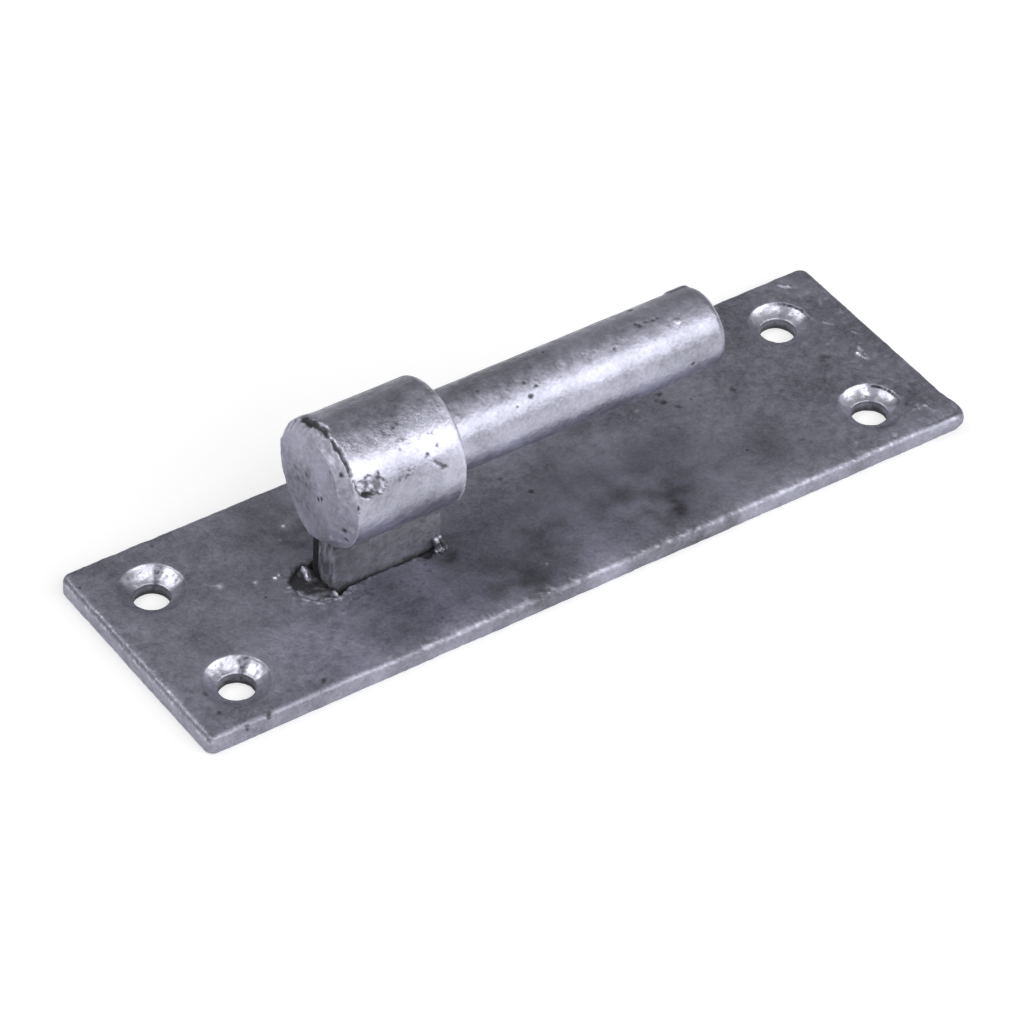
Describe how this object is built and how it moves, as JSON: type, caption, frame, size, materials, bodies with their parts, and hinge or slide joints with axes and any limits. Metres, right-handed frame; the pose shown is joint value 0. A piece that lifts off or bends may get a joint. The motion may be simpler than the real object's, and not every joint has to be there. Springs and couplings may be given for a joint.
{
  "type": "gate hinge pin",
  "caption": "Gate hinge pin: round pin and boss on a short neck, set in a flat back plate with countersunk screw holes, galvanised.",
  "frame": {"origin": "middle of the plate's back face, which is the bottom centre of the part's box", "axes": "+X along the plate, the way the pin points; +Z out of the plate, from its back face to the pin"},
  "size_m": [0.169, 0.052, 0.0391],
  "materials": {
    "galvanised_plate": "hot-dip galvanised flat bar, dull and mottled blue-grey",
    "galvanised_forging": "hot-dip galvanised forging, a little brighter, with pits and runs",
    "galvanised_weld": "hot-dip galvanised weld metal, rough"
  },
  "bodies": {
    "root": {"back_plate": "galvanised_plate", "hinge_pin": "galvanised_forging", "root_weld": "galvanised_weld", "tack_weld": "galvanised_weld"}
  },
  "joints": []
}
